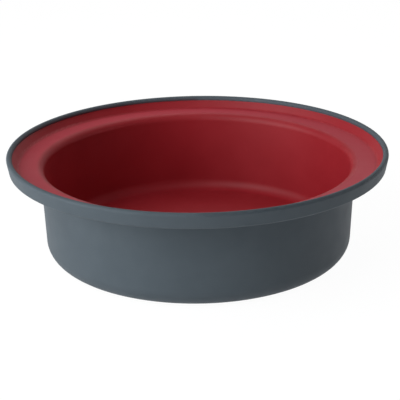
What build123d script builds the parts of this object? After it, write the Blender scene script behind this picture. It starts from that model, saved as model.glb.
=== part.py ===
from build123d import *
from math import cos, degrees, hypot, radians, sin
import os

# Pet bathtub: a round, shallow, two-tone tub with a broad dished brim.
# Lengths are in millimetres. The tub's axis is Z, and its feet stand on Z = 0 at the origin.

# Driving sizes of the tub
rim_radius = 250.0            # outside of the lip
rim_drop = 141.0              # top of the lip down to the underside of the shell
foot_standoff = 2.0           # how far the foot pads stand below the shell
brim_drop = 16.6              # top of the lip down to the flat of the brim
skirt_drop = 18.4             # top of the lip down to the skirt's lower edge
lip_width = 7.3               # thickness of the round lip
lip_wrap = 42.0               # degrees that the lip's inner side curls under, down to where the liner starts
slope_reach = 13.5            # outside of the lip in to the crease, where the sloping edge meets the brim
skirt_taper = 2.6             # radius that the skirt loses on its way down
brim_reach = 42.5             # how far the lip stands out from the body below the brim
body_taper = 4.2              # radius that the body loses on its way down to the underside
base_round = 22.5             # rounding between the wall and the underside
crease_round = 5.0            # rounding between the sloping edge and the flat brim
shoulder_round = 9.6          # rounding from the brim into the basin
floor_round = 14.0            # rounding from the wall into the basin's floor
skirt_bevel = 2.5             # width of the bevel from the skirt's lower edge in to the brim's underside
corner_softening = 1.2        # rounding of the skirt's lower edge

# Thickness of the two bonded layers
shell_wall = 2.6
shell_brim = 1.8
shell_skirt = 2.4
shell_floor = 2.4
liner_wall = 2.6
liner_brim = 1.8
liner_floor = 2.2

# Base: a stiffening plate between the layers, and the hollow under it
plate_thickness = 2.4
plate_margin = 4.8            # from the flat of the underside in to the plate's edge
base_hollow_depth = 3.5
base_hollow_margin = 6.0      # from the pads in to the hollow
base_hollow_draft = 1.5
seat_clearance = 0.3          # round a piece that is moulded in or laid in

# Steel hoop in the brim
hoop_diameter = 4.0

# Foot pads, let into the standing ring of the shell
pad_count = 4
pad_margin = 14.8             # from the flat of the underside in to the pads
pad_width = 16.0
pad_arc = 58.0                # degrees round the tub
pad_inset = 1.6
pad_round = 0.8
pad_groove_width = 2.4
pad_groove_depth = 0.8
pad_groove_count = 2

# Drain fitting in the middle of the floor
tail_radius = 23.0
tail_wall = 3.5
tail_clearance = 0.2
drain_flange_reach = 13.8     # from the tail out to the flange's edge
drain_flange_thickness = 1.8
drain_flange_bevel = 0.9
well_clearance = 1.2          # round the flange, in the well of the floor
gasket_thickness = 0.8
gasket_reach = 11.0           # from the tail out to the gasket's edge
washer_thickness = 0.8
washer_reach = 8.0
lock_ring_reach = 9.0
lock_ring_height = 2.7
lock_ring_notch_count = 6
lock_ring_notch_radius = 3.2
lock_ring_edge = 0.5
lock_ring_fit = 0.05          # between the ring's bore and the tail

# Hair strainer on a ledge at the foot of the drain
strainer_ledge_width = 2.4
strainer_ledge_height = 1.3
strainer_thickness = 1.0
strainer_fit = 0.05
strainer_hole_radius = 1.8
strainer_edge = 2.05          # from the outermost holes to the strainer's edge
strainer_row_count = 3
strainer_row_holes = 6        # holes in the first row, and how many more each further row has

# Plug that lifts out of the drain, with its seal and its folding pull ring
plug_cap_lap = 6.0            # how far the cap lies over the flange
plug_cap_thickness = 2.6
plug_cap_edge = 1.2
plug_fit = 0.6                # between the plug's body and the drain's bore
plug_reach = 6.2              # how far the plug's body reaches down into the bore
plug_lead_in = 1.4
cap_clearance = 0.05
seal_section = 2.6            # diameter of the seal's section
seal_clearance = 0.08
seal_depth = 3.0              # from the flange's top down to the seal's middle
lug_width = 8.0
lug_thickness = 7.0
lug_height = 6.0
lug_edge = 1.0
ring_wire = 3.0
ring_running_fit = 0.05
ring_lay_gap = 0.2
ring_width = 26.0
ring_length = 19.0

# One overrun for all cuts
overrun = 5.0

# Radii and heights that follow from the sizes above
crease_radius = rim_radius - slope_reach
body_top_radius = rim_radius - brim_reach
body_foot_radius = body_top_radius - body_taper
underside_radius = body_foot_radius - base_round
plate_radius = underside_radius - plate_margin
pad_inner_radius = underside_radius - pad_margin - pad_width
base_hollow_radius = pad_inner_radius - base_hollow_margin
tail_bore_radius = tail_radius - tail_wall
drain_flange_radius = tail_radius + drain_flange_reach
drain_well_radius = drain_flange_radius + well_clearance
gasket_radius = tail_radius + gasket_reach
washer_radius = tail_radius + washer_reach
lock_ring_radius = tail_radius + lock_ring_reach
plug_cap_radius = tail_bore_radius + plug_cap_lap
base_z = foot_standoff
rim_z = base_z + rim_drop
brim_z = rim_z - brim_drop
layer_brim_z = brim_z - liner_brim
brim_underside_z = layer_brim_z - shell_brim
hollow_z = base_z + base_hollow_depth
pocket_z = hollow_z + shell_floor
layer_floor_z = pocket_z + plate_thickness
floor_z = layer_floor_z + liner_floor
well_z = pocket_z + liner_floor
flange_under_z = well_z + gasket_thickness
flange_top_z = flange_under_z + drain_flange_thickness
lock_ring_top_z = hollow_z - washer_thickness
tail_foot_z = lock_ring_top_z - lock_ring_height


def at_height(low, high, height):
    """Point on the line through two section points, at the given height."""
    along = (height - low[1]) / (high[1] - low[1])
    return (low[0] + along * (high[0] - low[0]), height)


def beside(start, end, distance):
    """The line through two section points, moved sideways to its right."""
    run = hypot(end[0] - start[0], end[1] - start[1])
    step = (distance * (end[1] - start[1]) / run, -distance * (end[0] - start[0]) / run)
    return (start[0] + step[0], start[1] + step[1]), (end[0] + step[0], end[1] + step[1])


def round_corners(section, corners):
    """Round the section's corners that lie nearest to the given points."""
    for corner, radius in corners:
        fillet(section.vertices().sort_by_distance(corner)[0], radius)


# Section points that the two layers share, as (radius, height)
lip_round = lip_width / 2
lip_middle = (rim_radius - lip_round, rim_z - lip_round)
skirt_top = (rim_radius, lip_middle[1])
skirt_foot = (rim_radius - skirt_taper, rim_z - skirt_drop)
brim_edge = (skirt_foot[0] - skirt_bevel, brim_underside_z)
body_top = (body_top_radius, brim_underside_z)
body_foot = (body_foot_radius, base_z)
slope_top = (
    lip_middle[0] - lip_round * cos(radians(lip_wrap)),
    lip_middle[1] - lip_round * sin(radians(lip_wrap)),
)
slope_foot = (crease_radius, brim_z)
under_slope_foot, under_slope_top = beside(slope_foot, slope_top, liner_brim)
layer_crease = at_height(under_slope_foot, under_slope_top, layer_brim_z)
layer_line = beside(body_foot, body_top, -shell_wall)
layer_shoulder = at_height(*layer_line, layer_brim_z)
layer_corner = at_height(*layer_line, layer_floor_z)
inner_line = beside(body_foot, body_top, -shell_wall - liner_wall)
inner_shoulder = at_height(*inner_line, brim_z)
inner_corner = at_height(*inner_line, floor_z)
layer_shoulder_round = shoulder_round - (liner_wall + liner_brim) / 2
under_brim_round = layer_shoulder_round - (shell_wall + shell_brim) / 2
layer_floor_round = floor_round + liner_wall
skirt_inner = beside(skirt_foot, skirt_top, -shell_skirt)
skirt_inner_foot = at_height(*skirt_inner, layer_brim_z)
skirt_inner_top = at_height(*skirt_inner, under_slope_top[1] - liner_brim)

# Outer shell: body, underside, brim, skirt and lip in one moulding
shell_hole_radius = tail_radius + tail_clearance
with BuildPart() as outer_shell:
    with BuildSketch(Plane.XZ) as shell_section:
        with BuildLine():
            Polyline(
                slope_top,
                under_slope_top,
                skirt_inner_top,
                skirt_inner_foot,
                layer_shoulder,
                layer_corner,
                (plate_radius, layer_floor_z),
                (plate_radius, pocket_z),
                (shell_hole_radius, pocket_z),
                (shell_hole_radius, hollow_z),
                (base_hollow_radius, hollow_z),
                (base_hollow_radius + base_hollow_draft, base_z),
                body_foot,
                body_top,
                brim_edge,
                skirt_foot,
                skirt_top,
            )
            CenterArc(lip_middle, lip_round, 0, 90)
            CenterArc(lip_middle, lip_round, 90, 90 + lip_wrap)
        make_face()
        round_corners(shell_section, [
            (body_foot, base_round),
            (body_top, under_brim_round),
            (brim_edge, corner_softening),
            (skirt_foot, corner_softening),
            (layer_shoulder, layer_shoulder_round),
            (layer_corner, layer_floor_round),
        ])
    revolve(axis=Axis.Z)
    # Seats for the foot pads
    for pad in range(pad_count):
        pad_start = pad * 360 / pad_count + 180 / pad_count - pad_arc / 2
        with BuildSketch(Plane.XZ.rotated((0, 0, pad_start))) as seat_section:
            with Locations((pad_inner_radius - seat_clearance, base_z - overrun)):
                Rectangle(pad_width + 2 * seat_clearance, pad_inset + overrun, align=(Align.MIN, Align.MIN))
        revolve(axis=Axis.Z, revolution_arc=pad_arc, mode=Mode.SUBTRACT)
outer_shell.part.label = "outer_shell"

# Inner liner: basin, brim and sloping edge, bonded to the shell over its whole back
with BuildPart() as inner_liner:
    with BuildSketch(Plane.XZ) as liner_section:
        with BuildLine():
            Polyline(
                slope_top,
                slope_foot,
                inner_shoulder,
                inner_corner,
                (drain_well_radius, floor_z),
                (drain_well_radius, well_z),
                (shell_hole_radius, well_z),
                (shell_hole_radius, pocket_z),
                (drain_well_radius + liner_wall, pocket_z),
                (drain_well_radius + liner_wall, layer_floor_z),
                layer_corner,
                layer_shoulder,
                layer_crease,
                under_slope_top,
                close=True,
            )
        make_face()
        round_corners(liner_section, [
            (slope_foot, crease_round),
            (inner_shoulder, shoulder_round),
            (inner_corner, floor_round),
            ((drain_well_radius, floor_z), liner_floor / 2),
            (layer_shoulder, layer_shoulder_round),
            (layer_corner, layer_floor_round),
        ])
    revolve(axis=Axis.Z)
inner_liner.part.label = "inner_liner"

# Steel hoop that keeps the brim round, lying in the pocket behind the liner's slope
hoop_radius = hoop_diameter / 2
hoop_height = layer_brim_z + hoop_radius + seat_clearance
hoop_reach = at_height(*skirt_inner, hoop_height)[0] - hoop_radius - seat_clearance
with BuildPart() as rim_hoop:
    with BuildSketch(Plane.XZ) as hoop_section:
        with Locations((hoop_reach, hoop_height)):
            Circle(hoop_radius)
    revolve(axis=Axis.Z)
rim_hoop.part.label = "rim_hoop"

# Stiffening plate between the shell's floor and the liner's floor
with BuildPart() as base_plate:
    with BuildSketch(Plane.XY.offset(pocket_z)):
        Circle(plate_radius - seat_clearance)
        Circle(drain_well_radius + liner_wall + seat_clearance, mode=Mode.SUBTRACT)
    extrude(amount=plate_thickness)
base_plate.part.label = "base_plate"

# Non-slip foot pads, named by the quarter that they stand in
pad_names = ["foot_pad_back_right", "foot_pad_back_left", "foot_pad_front_left", "foot_pad_front_right"]
pad_top_z = base_z + pad_inset
pad_end_gap = degrees(seat_clearance / pad_inner_radius)
foot_pads = []
for pad, pad_name in enumerate(pad_names):
    pad_start = pad * 360 / pad_count + 180 / pad_count - pad_arc / 2 + pad_end_gap
    with BuildPart() as foot_pad:
        with BuildSketch(Plane.XZ.rotated((0, 0, pad_start))) as pad_section:
            with Locations((pad_inner_radius, 0)):
                Rectangle(pad_width, pad_top_z, align=(Align.MIN, Align.MIN))
            round_corners(pad_section, [
                ((pad_inner_radius, 0), pad_round),
                ((pad_inner_radius + pad_width, 0), pad_round),
            ])
            for groove in range(pad_groove_count):
                groove_radius = pad_inner_radius + pad_width * (groove + 1) / (pad_groove_count + 1)
                with Locations((groove_radius, -overrun)):
                    Rectangle(
                        pad_groove_width, pad_groove_depth + overrun,
                        align=(Align.CENTER, Align.MIN), mode=Mode.SUBTRACT,
                    )
        revolve(axis=Axis.Z, revolution_arc=pad_arc - 2 * pad_end_gap)
    foot_pad.part.label = pad_name
    foot_pads.append(foot_pad)

# Drain body: flange in the floor's well, threaded tail through all the layers, ledge for the strainer
ledge_radius = tail_bore_radius - strainer_ledge_width
ledge_z = tail_foot_z + strainer_ledge_height
with BuildPart() as drain_body:
    with BuildSketch(Plane.XZ) as drain_section:
        with BuildLine():
            Polyline(
                (ledge_radius, tail_foot_z),
                (tail_radius, tail_foot_z),
                (tail_radius, flange_under_z),
                (drain_flange_radius, flange_under_z),
                (drain_flange_radius, flange_top_z - drain_flange_bevel),
                (drain_flange_radius - 2 * drain_flange_bevel, flange_top_z),
                (tail_bore_radius, flange_top_z),
                (tail_bore_radius, ledge_z),
                (ledge_radius, ledge_z),
                close=True,
            )
        make_face()
    revolve(axis=Axis.Z)
drain_body.part.label = "drain_body"


def flat_ring(inner_radius, outer_radius, low_z, thickness):
    """A plain sealing ring round the drain's tail."""
    with BuildPart() as ring:
        with BuildSketch(Plane.XY.offset(low_z)):
            Circle(outer_radius)
            Circle(inner_radius, mode=Mode.SUBTRACT)
        extrude(amount=thickness)
    return ring


# Gasket above the floor and washer below it
drain_gasket = flat_ring(shell_hole_radius, gasket_radius, well_z, gasket_thickness)
drain_gasket.part.label = "drain_gasket"
drain_washer = flat_ring(shell_hole_radius, washer_radius, lock_ring_top_z, washer_thickness)
drain_washer.part.label = "drain_washer"

# Lock ring that pulls the drain body down, with notches for a pin spanner
with BuildPart() as drain_lock_ring:
    with BuildSketch(Plane.XY.offset(tail_foot_z)):
        Circle(lock_ring_radius)
        Circle(tail_radius + lock_ring_fit, mode=Mode.SUBTRACT)
        with PolarLocations(lock_ring_radius, lock_ring_notch_count):
            Circle(lock_ring_notch_radius, mode=Mode.SUBTRACT)
    extrude(amount=lock_ring_height)
    chamfer(drain_lock_ring.faces().sort_by(Axis.Z)[0].outer_wire().edges(), lock_ring_edge)
drain_lock_ring.part.label = "drain_lock_ring"

# Hair strainer: a perforated disc on the drain's ledge
strainer_radius = tail_bore_radius - strainer_fit
strainer_row_spacing = (strainer_radius - strainer_edge - strainer_hole_radius) / strainer_row_count
with BuildPart() as hair_strainer:
    with BuildSketch(Plane.XY.offset(ledge_z)):
        Circle(strainer_radius)
        Circle(strainer_hole_radius, mode=Mode.SUBTRACT)
        for row in range(1, strainer_row_count + 1):
            with PolarLocations(row * strainer_row_spacing, row * strainer_row_holes):
                Circle(strainer_hole_radius, mode=Mode.SUBTRACT)
    extrude(amount=strainer_thickness)
hair_strainer.part.label = "hair_strainer"

# Drain plug: a cap on the flange, a body with a groove for its seal, and a lug for the pull ring
cap_z = flange_top_z + cap_clearance
cap_top_z = cap_z + plug_cap_thickness
plug_radius = tail_bore_radius - plug_fit
seal_radius = seal_section / 2
seal_z = flange_top_z - seal_depth
seal_reach = tail_bore_radius - seal_clearance - seal_radius
ring_axis_z = cap_top_z + ring_lay_gap + ring_wire / 2
with BuildPart() as drain_plug:
    with BuildSketch(Plane.XZ) as plug_section:
        with BuildLine():
            Polyline(
                (0, flange_top_z - plug_reach),
                (plug_radius - plug_lead_in, flange_top_z - plug_reach),
                (plug_radius, flange_top_z - plug_reach + plug_lead_in),
                (plug_radius, cap_z),
                (plug_cap_radius, cap_z),
                (plug_cap_radius, cap_top_z),
                (0, cap_top_z),
                close=True,
            )
        make_face()
        round_corners(plug_section, [((plug_cap_radius, cap_top_z), plug_cap_edge)])
        with Locations((seal_reach, seal_z)):
            Circle(seal_radius + seal_clearance, mode=Mode.SUBTRACT)
    revolve(axis=Axis.Z)
    with BuildSketch(Plane.XY.offset(cap_top_z)):
        RectangleRounded(lug_width, lug_thickness, lug_edge)
    extrude(amount=lug_height)
    chamfer(drain_plug.faces().sort_by(Axis.Z)[-1].edges(), lug_edge / 2)
    with BuildSketch(Plane.YZ.offset(-lug_width / 2 - overrun)):
        with Locations((0, ring_axis_z)):
            Circle(ring_wire / 2 + ring_running_fit)
    extrude(amount=lug_width + 2 * overrun, mode=Mode.SUBTRACT)
drain_plug.part.label = "drain_plug"

# Seal ring in the plug's groove
with BuildPart() as plug_seal:
    with BuildSketch(Plane.XZ):
        with Locations((seal_reach, seal_z)):
            Circle(seal_radius)
    revolve(axis=Axis.Z)
plug_seal.part.label = "plug_seal"

# Pull ring: a D of round wire that turns in the plug's lug and lies on the cap
ring_half = (ring_width - ring_wire) / 2
ring_corner = ring_wire
ring_straight = ring_half - ring_corner
bow_reach = ring_length - ring_wire / 2 - ring_half
with BuildPart() as pull_ring:
    with BuildLine(Plane.XY.offset(ring_axis_z)) as ring_path:
        Line((0, 0), (ring_straight, 0))
        CenterArc((ring_straight, ring_corner), ring_corner, -90, 90)
        Line((ring_half, ring_corner), (ring_half, bow_reach))
        CenterArc((0, bow_reach), ring_half, 0, 180)
        Line((-ring_half, bow_reach), (-ring_half, ring_corner))
        CenterArc((-ring_straight, ring_corner), ring_corner, 180, 90)
        Line((-ring_straight, 0), (0, 0))
    with BuildSketch(Plane(origin=(0, 0, ring_axis_z), z_dir=(1, 0, 0))):
        Circle(ring_wire / 2)
    sweep(path=ring_path.wire())
pull_ring.part.label = "pull_ring"

pieces = [
    outer_shell, inner_liner, rim_hoop, base_plate, *foot_pads, drain_body, drain_gasket,
    drain_washer, drain_lock_ring, hair_strainer, drain_plug, plug_seal, pull_ring,
]

os.makedirs("parts", exist_ok=True)
for piece in pieces:
    export_step(piece.part, "parts/" + piece.part.label + ".step")
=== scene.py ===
import math

import bpy
from mathutils import Matrix, Vector


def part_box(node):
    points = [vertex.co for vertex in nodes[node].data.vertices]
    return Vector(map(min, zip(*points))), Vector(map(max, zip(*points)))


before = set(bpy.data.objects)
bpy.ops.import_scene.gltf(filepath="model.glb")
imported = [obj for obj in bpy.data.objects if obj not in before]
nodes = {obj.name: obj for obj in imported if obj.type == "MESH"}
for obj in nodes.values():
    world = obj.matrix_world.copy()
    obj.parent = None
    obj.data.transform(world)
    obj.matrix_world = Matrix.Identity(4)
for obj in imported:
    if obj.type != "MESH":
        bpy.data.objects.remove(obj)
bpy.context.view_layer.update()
bpy.ops.object.select_all(action="DESELECT")
mm = 0.001                       # lengths are in metres
print("frame loaded:", len(nodes), "CAD nodes")


# Camera: stands in front of the tub and a little above it, aimed just below the rim
cameraSet = {
    "standsOff": 1500 * mm,      # from the centre of the rim
    "elevation": 17.805,         # degrees above the rim's plane
    "tipDown": 2.756,            # degrees below the rim's centre, which puts the tub in the upper half
    "swing": 0.103,              # degrees to the right
    "roll": -0.785,              # degrees
    "lens": 102.1,               # millimetres, as Blender takes it
    "sensor": 36,                # millimetres, the width of a square picture
}


def makeCamera():
    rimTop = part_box("outer_shell")[1].z
    rise = math.radians(cameraSet["elevation"])
    pitch = rise + math.radians(cameraSet["tipDown"])
    data = bpy.data.cameras.new("camera")
    data.lens = cameraSet["lens"]
    data.sensor_width = cameraSet["sensor"]
    camera = bpy.data.objects.new("camera", data)
    bpy.context.scene.collection.objects.link(camera)
    turn = (
        Matrix.Rotation(-math.radians(cameraSet["swing"]), 4, "Z")
        @ Matrix.Rotation(math.pi / 2 - pitch, 4, "X")
        @ Matrix.Rotation(math.radians(cameraSet["roll"]), 4, "Z")
    )
    reach = cameraSet["standsOff"]
    place = Vector((0, -reach * math.cos(rise), rimTop + reach * math.sin(rise)))
    camera.matrix_world = Matrix.Translation(place) @ turn
    bpy.context.scene.camera = camera


makeCamera()
print("camera placed")


# Colours are written as sRGB hex, and the sRGB curve turns them to the linear values that sockets take
def toLinear(hexText):
    parts = [int(hexText[i:i + 2], 16) / 255 for i in (1, 3, 5)]
    return [p / 12.92 if p <= 0.04045 else ((p + 0.055) / 1.055) ** 2.4 for p in parts] + [1.0]


def addNode(tree, kind, settings=None, values=None, links=None):
    # adds one node, with its settings, its socket values, and its incoming links
    node = tree.nodes.new(kind)
    for name, value in (settings or {}).items():
        setattr(node, name, value)
    for name, value in (values or {}).items():
        node.inputs[name].default_value = value
    for name, source in (links or {}).items():
        tree.links.new(source, node.inputs[name])
    return node


def startMaterial(name):
    # an empty material, and the object's own coordinates for its patterns
    material = bpy.data.materials.new(name)
    material.use_nodes = True
    tree = material.node_tree
    tree.nodes.clear()
    place = addNode(tree, "ShaderNodeTexCoord").outputs["Object"]
    return material, tree, place


# Most of a noise lies between these values, which are stretched to the ends of a finish's range
noiseSpan = {"From Min": 0.3, "From Max": 0.7}


# Silicone rubber, compression moulded in a bead-blasted mould: dense and satin, with a fine even grain,
# broad soft highlights, a faint drift in the pigment, and slightly duller clouds where a bloom has come up.
# The flat of the liner's brim is painted paler: a painted sheen for the light that falls on it.
siliconeLooks = {
    "moulded grey silicone rubber": {"colour": "#50585F", "paler": "#586067", "roughness": 0.60},
    # the red's last colour is a painted sheen, the flat of its brim painted paler where light falls on it
    "moulded red silicone rubber": {
        "colour": "#A41F28", "paler": "#AC262F", "roughness": 0.50, "paintedSheen": "#C13946"},
}
siliconePatterns = {             # size of a patch, and how many times it is broken up finer
    "drift": (70 * mm, 3),       # clouds in the pigment
    "bloom": (22 * mm, 3),       # duller clouds
    "wave": (38 * mm, 1),        # long soft waves left by the polishing of the mould
    "grain": (1.5 * mm, 2),      # the real grain is 0.15 mm, drawn coarser so that it shows
}
siliconeFinish = {
    "breakUp": 0.55,             # how strongly the finer patches show
    "waveDepth": 0.05 * mm,
    "grainDepth": 0.015 * mm,
    "duller": 0.06,              # how much rougher the duller clouds are
    "ior": 1.40,
}
# a ring of painted sheen: the flat of the brim painted paler, standing in for the light on it
paintedSheenRing = {                   # on the liner's brim, by the distance from the tub's axis
    "from": 206 * mm,
    "to": 230 * mm,
    "fade": 8 * mm,              # how softly its edges end
}


# paints a paler ring on the flat of the brim, a painted sheen for the light that falls there
def paintSheenOnBrim(tree, place, colour, paintedSheen):
    ring = paintedSheenRing
    flat = addNode(tree, "ShaderNodeVectorMath", {"operation": "MULTIPLY"}, {1: (1, 1, 0)}, {0: place})
    radius = addNode(tree, "ShaderNodeVectorMath", {"operation": "LENGTH"}, links={
        0: flat.outputs["Vector"]}).outputs["Value"]
    inner = addNode(tree, "ShaderNodeMapRange", {"interpolation_type": "SMOOTHSTEP"}, {
        "From Min": ring["from"], "From Max": ring["from"] + ring["fade"],
        "To Min": 0.0, "To Max": 1.0}, {"Value": radius})
    outer = addNode(tree, "ShaderNodeMapRange", {"interpolation_type": "SMOOTHSTEP"}, {
        "From Min": ring["to"], "From Max": ring["to"] + ring["fade"],
        "To Min": 1.0, "To Max": 0.0}, {"Value": radius})
    share = addNode(tree, "ShaderNodeMath", {"operation": "MULTIPLY"}, links={
        0: inner.outputs["Result"], 1: outer.outputs["Result"]})
    sheened = addNode(tree, "ShaderNodeMix", {"data_type": "RGBA"}, {"B": toLinear(paintedSheen)}, {
        "Factor": share.outputs["Value"], "A": colour})
    return sheened.outputs["Result"]


def siliconeMaterial(name, look):
    material, tree, place = startMaterial(name)
    finish = siliconeFinish
    clouds = {}
    for pattern, (size, detail) in siliconePatterns.items():
        clouds[pattern] = addNode(tree, "ShaderNodeTexNoise", values={
            "Scale": 1 / size, "Detail": detail, "Roughness": finish["breakUp"]}, links={
            "Vector": place}).outputs["Fac"]
    drift = addNode(tree, "ShaderNodeMapRange", values=noiseSpan, links={"Value": clouds["drift"]})
    colour = addNode(tree, "ShaderNodeMix", {"data_type": "RGBA"}, {
        "A": toLinear(look["colour"]), "B": toLinear(look["paler"])}, {
        "Factor": drift.outputs["Result"]}).outputs["Result"]
    # painted sheen: the flat of the brim painted paler
    if "paintedSheen" in look:
        colour = paintSheenOnBrim(tree, place, colour, look["paintedSheen"])
    rough = addNode(tree, "ShaderNodeMapRange", values={
        **noiseSpan, "To Min": look["roughness"], "To Max": look["roughness"] + finish["duller"]}, links={
        "Value": clouds["bloom"]})
    waves = addNode(tree, "ShaderNodeBump", values={
        "Strength": 1.0, "Distance": finish["waveDepth"]}, links={"Height": clouds["wave"]})
    relief = addNode(tree, "ShaderNodeBump", values={
        "Strength": 1.0, "Distance": finish["grainDepth"]}, links={
        "Height": clouds["grain"], "Normal": waves.outputs["Normal"]})
    shader = addNode(tree, "ShaderNodeBsdfPrincipled", values={"IOR": finish["ior"]}, links={
        "Base Color": colour, "Roughness": rough.outputs["Result"], "Normal": relief.outputs["Normal"]})
    addNode(tree, "ShaderNodeOutputMaterial", links={"Surface": shader.outputs["BSDF"]})
    return material


# Plastics of the drain and the base, injection moulded: an even colour with faint flow marks, and a fine
# spark-eroded texture with a sheen that varies a little. The real texture is about 0.1 mm and is drawn
# coarser, so that it shows.
plasticFinish = {
    "patch": 30 * mm,            # size of the flow marks
    "vary": 0.04,                # how far the roughness drifts each way
}
plasticLooks = {
    "moulded charcoal polypropylene": {
        "colour": "#3B4046", "second": "#43494F", "roughness": 0.40, "ior": 1.49,
        "texture": 0.9 * mm, "textureDepth": 0.020 * mm},
    "moulded black nylon": {
        "colour": "#1C1D1F", "second": "#232527", "roughness": 0.46, "ior": 1.53,
        "texture": 1.2 * mm, "textureDepth": 0.030 * mm},
    "moulded natural polypropylene": {
        "colour": "#CFCDC2", "second": "#D8D6CC", "roughness": 0.38, "ior": 1.49,
        "texture": 1.6 * mm, "textureDepth": 0.015 * mm},
}

# Rubbers of the seals and the foot pads, moulded: matt and near black, with a talc-like bloom in patches
# and a grain that is also drawn coarser than the real one, which is about 0.1 mm
rubberFinish = {
    "patch": 9 * mm,             # size of the bloomed patches
    "vary": 0.05,                # how far the roughness drifts each way
}
rubberLooks = {
    "moulded nitrile rubber": {
        "colour": "#18191A", "second": "#2A2B2C", "roughness": 0.62, "ior": 1.52,
        "texture": 0.8 * mm, "textureDepth": 0.03 * mm},
    "moulded thermoplastic rubber": {
        "colour": "#2C2F32", "second": "#3A3D40", "roughness": 0.72, "ior": 1.52,
        "texture": 1.1 * mm, "textureDepth": 0.06 * mm},
}
mouldedPatches = {"Detail": 4, "Roughness": 0.6}
mouldedTexture = {"Detail": 3, "Roughness": 0.55}


def mouldedMaterial(name, look, finish):
    # a plastic or rubber with patches of a second colour and a texture that breaks up its sheen
    material, tree, place = startMaterial(name)
    patches = addNode(tree, "ShaderNodeTexNoise", values={
        **mouldedPatches, "Scale": 1 / finish["patch"]}, links={"Vector": place})
    share = addNode(tree, "ShaderNodeMapRange", values=noiseSpan, links={"Value": patches.outputs["Fac"]})
    colour = addNode(tree, "ShaderNodeMix", {"data_type": "RGBA"}, {
        "A": toLinear(look["colour"]), "B": toLinear(look["second"])}, {"Factor": share.outputs["Result"]})
    texture = addNode(tree, "ShaderNodeTexNoise", values={
        **mouldedTexture, "Scale": 1 / look["texture"]}, links={"Vector": place}).outputs["Fac"]
    rough = addNode(tree, "ShaderNodeMapRange", values={
        **noiseSpan, "To Min": look["roughness"] - finish["vary"],
        "To Max": look["roughness"] + finish["vary"]}, links={"Value": texture})
    relief = addNode(tree, "ShaderNodeBump", values={
        "Strength": 1.0, "Distance": look["textureDepth"]}, links={"Height": texture})
    shader = addNode(tree, "ShaderNodeBsdfPrincipled", values={"IOR": look["ior"]}, links={
        "Base Color": colour.outputs["Result"], "Roughness": rough.outputs["Result"],
        "Normal": relief.outputs["Normal"]})
    addNode(tree, "ShaderNodeOutputMaterial", links={"Surface": shader.outputs["BSDF"]})
    return material


# Stainless steel: the strainer is brushed along X after punching, which leaves long fine scratches, the
# hoop's wire is as drawn, dull and even, and the pull ring is polished bright. Real scratches are about
# 0.05 mm wide and are drawn wider, so that they show.
steelLooks = {
    "brushed stainless steel": {
        "colour": "#B9B8B4", "darker": "#A3A29F", "roughness": 0.30, "stretch": (0.04, 1, 1),
        "scratch": 0.35 * mm, "scratchDepth": 0.008 * mm},
    "drawn stainless steel": {
        "colour": "#B4B3AF", "darker": "#9C9B98", "roughness": 0.34, "stretch": (1, 1, 1),
        "scratch": 0.8 * mm, "scratchDepth": 0.006 * mm},
    "polished stainless steel": {
        "colour": "#C3C2BE", "darker": "#B6B5B1", "roughness": 0.14, "stretch": (1, 1, 1),
        "scratch": 1.5 * mm, "scratchDepth": 0.003 * mm},
}
steelScratches = {"Detail": 3, "Roughness": 0.6}
steelVary = 0.2                  # share of its roughness by which it drifts each way


def steelMaterial(name, look):
    material, tree, place = startMaterial(name)
    along = addNode(tree, "ShaderNodeMapping", values={"Scale": look["stretch"]}, links={"Vector": place})
    scratches = addNode(tree, "ShaderNodeTexNoise", values={
        **steelScratches, "Scale": 1 / look["scratch"]}, links={
        "Vector": along.outputs["Vector"]}).outputs["Fac"]
    share = addNode(tree, "ShaderNodeMapRange", values=noiseSpan, links={"Value": scratches})
    colour = addNode(tree, "ShaderNodeMix", {"data_type": "RGBA"}, {
        "A": toLinear(look["colour"]), "B": toLinear(look["darker"])}, {"Factor": share.outputs["Result"]})
    rough = addNode(tree, "ShaderNodeMapRange", values={
        **noiseSpan, "To Min": look["roughness"] * (1 - steelVary),
        "To Max": look["roughness"] * (1 + steelVary)}, links={"Value": scratches})
    relief = addNode(tree, "ShaderNodeBump", values={
        "Strength": 1.0, "Distance": look["scratchDepth"]}, links={"Height": scratches})
    shader = addNode(tree, "ShaderNodeBsdfPrincipled", values={"Metallic": 1.0}, links={
        "Base Color": colour.outputs["Result"], "Roughness": rough.outputs["Result"],
        "Normal": relief.outputs["Normal"]})
    addNode(tree, "ShaderNodeOutputMaterial", links={"Surface": shader.outputs["BSDF"]})
    return material


materials = {}
for name, look in siliconeLooks.items():
    materials[name] = siliconeMaterial(name, look)
for name, look in plasticLooks.items():
    materials[name] = mouldedMaterial(name, look, plasticFinish)
for name, look in rubberLooks.items():
    materials[name] = mouldedMaterial(name, look, rubberFinish)
for name, look in steelLooks.items():
    materials[name] = steelMaterial(name, look)

# What each piece is made of, by the start of its name
pieceMaterials = {
    "outer_shell": "moulded grey silicone rubber",
    "inner_liner": "moulded red silicone rubber",
    "base_plate": "moulded natural polypropylene",
    "drain_body": "moulded charcoal polypropylene",
    "drain_plug": "moulded charcoal polypropylene",
    "drain_lock_ring": "moulded black nylon",
    "drain_gasket": "moulded nitrile rubber",
    "drain_washer": "moulded nitrile rubber",
    "plug_seal": "moulded nitrile rubber",
    "foot_pad": "moulded thermoplastic rubber",
    "hair_strainer": "brushed stainless steel",
    "rim_hoop": "drawn stainless steel",
    "pull_ring": "polished stainless steel",
}
for piece, name in pieceMaterials.items():
    for node in nodes:
        if node.startswith(piece):
            nodes[node].data.materials.clear()
            nodes[node].data.materials.append(materials[name])
print("materials made")


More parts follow.
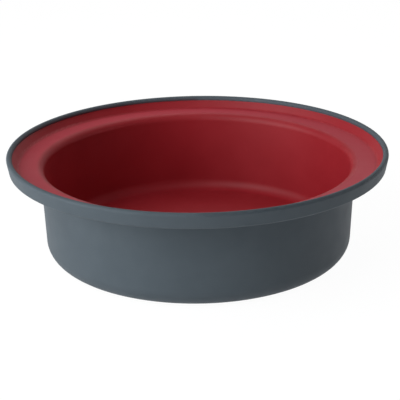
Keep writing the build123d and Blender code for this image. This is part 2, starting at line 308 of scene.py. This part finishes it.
# Studio: a pale floor that keeps the tub's shadow, and a surround that the camera sees white. In
# reflections it is white at the horizon and dark overhead, as a white sweep below a dark ceiling is.
studio = {
    "floorSize": 12.0,           # metres
    "floorDrop": 0.2 * mm,       # below the pads, so that the two faces don't lie in one plane
    "floorColour": "#F4F4F4",
    "floorKeep": 0.08,           # how much of the floor's own shading the camera sees
    "floorGlow": 1.05,           # just over white, so that the shaded share doesn't grey the open floor
    "sweepLow": 0.05,            # sine of the elevation where the sweep starts to darken
    "sweepHigh": 0.52,           # and where it has got dark
    "sweep": 1.0,                # how bright the sweep shows in reflections
    "ambient": 0.24,             # what falls on the tub straight from above
}


def backgroundRays(tree):
    # the first is 1 for rays that show the background, whether straight, reflected or passed through,
    # and the second only for those that run straight to the camera
    rays = addNode(tree, "ShaderNodeLightPath").outputs
    seen = addNode(tree, "ShaderNodeMath", {"operation": "MAXIMUM"}, links={
        0: rays["Is Camera Ray"], 1: rays["Is Glossy Ray"]})
    either = addNode(tree, "ShaderNodeMath", {"operation": "MAXIMUM"}, links={
        0: seen.outputs["Value"], 1: rays["Is Transmission Ray"]})
    return either.outputs["Value"], rays["Is Camera Ray"]


def makeFloor():
    bpy.ops.mesh.primitive_plane_add(size=studio["floorSize"], location=(0, 0, -studio["floorDrop"]))
    floor = bpy.context.object
    floor.name = "floor"
    material = bpy.data.materials.new("matt white floor")
    material.use_nodes = True
    tree = material.node_tree
    tree.nodes.clear()
    seen = backgroundRays(tree)[0]
    paint = addNode(tree, "ShaderNodeBsdfDiffuse", values={"Color": toLinear(studio["floorColour"])})
    glow = addNode(tree, "ShaderNodeEmission", values={"Strength": studio["floorGlow"]})
    share = addNode(tree, "ShaderNodeMath", {"operation": "MULTIPLY"}, {
        1: 1 - studio["floorKeep"]}, {0: seen})
    above = addNode(tree, "ShaderNodeMixShader", links={
        "Fac": share.outputs["Value"], 1: paint.outputs["BSDF"], 2: glow.outputs["Emission"]})
    # from below the floor is clear, so that the underside can be looked at
    below = addNode(tree, "ShaderNodeBsdfTransparent")
    side = addNode(tree, "ShaderNodeNewGeometry").outputs["Backfacing"]
    mixed = addNode(tree, "ShaderNodeMixShader", links={
        "Fac": side, 1: above.outputs["Shader"], 2: below.outputs["BSDF"]})
    addNode(tree, "ShaderNodeOutputMaterial", links={"Surface": mixed.outputs["Shader"]})
    floor.data.materials.append(material)


def makeSurround():
    world = bpy.data.worlds.new("surround")
    world.use_nodes = True
    bpy.context.scene.world = world
    tree = world.node_tree
    tree.nodes.clear()
    seen, camera = backgroundRays(tree)
    outward = addNode(tree, "ShaderNodeTexCoord").outputs["Generated"]
    height = addNode(tree, "ShaderNodeSeparateXYZ", links={"Vector": outward}).outputs["Z"]
    sweep = addNode(tree, "ShaderNodeMapRange", {"interpolation_type": "SMOOTHSTEP"}, {
        "From Min": studio["sweepLow"], "From Max": studio["sweepHigh"],
        "To Min": studio["sweep"], "To Max": 0.0}, {"Value": height})
    overhead = addNode(tree, "ShaderNodeMapRange", {"interpolation_type": "SMOOTHSTEP"}, {
        "From Min": studio["sweepHigh"], "From Max": 1.0,
        "To Min": 0.0, "To Max": studio["ambient"]}, {"Value": height})
    # the camera sees the far floor's level here, so that no edge shows where the floor ends
    farFloor = studio["floorGlow"] * (1 - studio["floorKeep"])
    shown = addNode(tree, "ShaderNodeMix", {"data_type": "FLOAT"}, {"B": farFloor}, {
        "Factor": camera, "A": sweep.outputs["Result"]})
    white = {"Color": toLinear("#FFFFFF")}
    lighting = addNode(tree, "ShaderNodeBackground", None, white, {"Strength": overhead.outputs["Result"]})
    background = addNode(tree, "ShaderNodeBackground", None, white, {"Strength": shown.outputs["Result"]})
    mixed = addNode(tree, "ShaderNodeMixShader", links={
        "Fac": seen, 1: lighting.outputs["Background"], 2: background.outputs["Background"]})
    addNode(tree, "ShaderNodeOutputWorld", links={"Surface": mixed.outputs["Shader"]})


# Large soft lights, placed by bearing in degrees (0 is right, 90 behind, 180 left, 270 the camera's side)
# and by rise above the floor, and aimed at the middle of the tub. Sizes are in metres.
softLights = {
    "lowLeft": {"bearing": 205, "rise": 15, "size": (2.6, 1.0), "watts": 37.0, "colour": "#F3FCFF"},
    "highLeft": {"bearing": 216, "rise": 45, "size": (2.4, 1.6), "watts": 26.5, "colour": "#F3FCFF"},
    "overBack": {"bearing": 75, "rise": 50, "size": (2.2, 1.4), "watts": 12.5, "colour": "#FFFFFF"},
    "lowRight": {"bearing": 350, "rise": 20, "size": (1.4, 0.9), "watts": 3.0, "colour": "#FFFFFF"},
}
lightReach = 2.4                 # metres from the point that the lights are aimed at
lightAim = 60 * mm               # height of that point


def makeLights():
    middle = Vector((0, 0, lightAim))
    for name, lamp in softLights.items():
        data = bpy.data.lights.new(name, "AREA")
        data.shape = "RECTANGLE"
        data.size, data.size_y = lamp["size"]
        data.energy = lamp["watts"]
        data.color = toLinear(lamp["colour"])[:3]
        light = bpy.data.objects.new(name, data)
        bpy.context.scene.collection.objects.link(light)
        bearing, rise = math.radians(lamp["bearing"]), math.radians(lamp["rise"])
        outward = Vector((
            math.cos(rise) * math.cos(bearing), math.cos(rise) * math.sin(bearing), math.sin(rise)))
        light.location = middle + lightReach * outward
        light.rotation_euler = (-outward).to_track_quat("-Z", "Y").to_euler()


makeFloor()
makeSurround()
makeLights()
bpy.context.scene.view_settings.view_transform = "Standard"
print("studio lit")
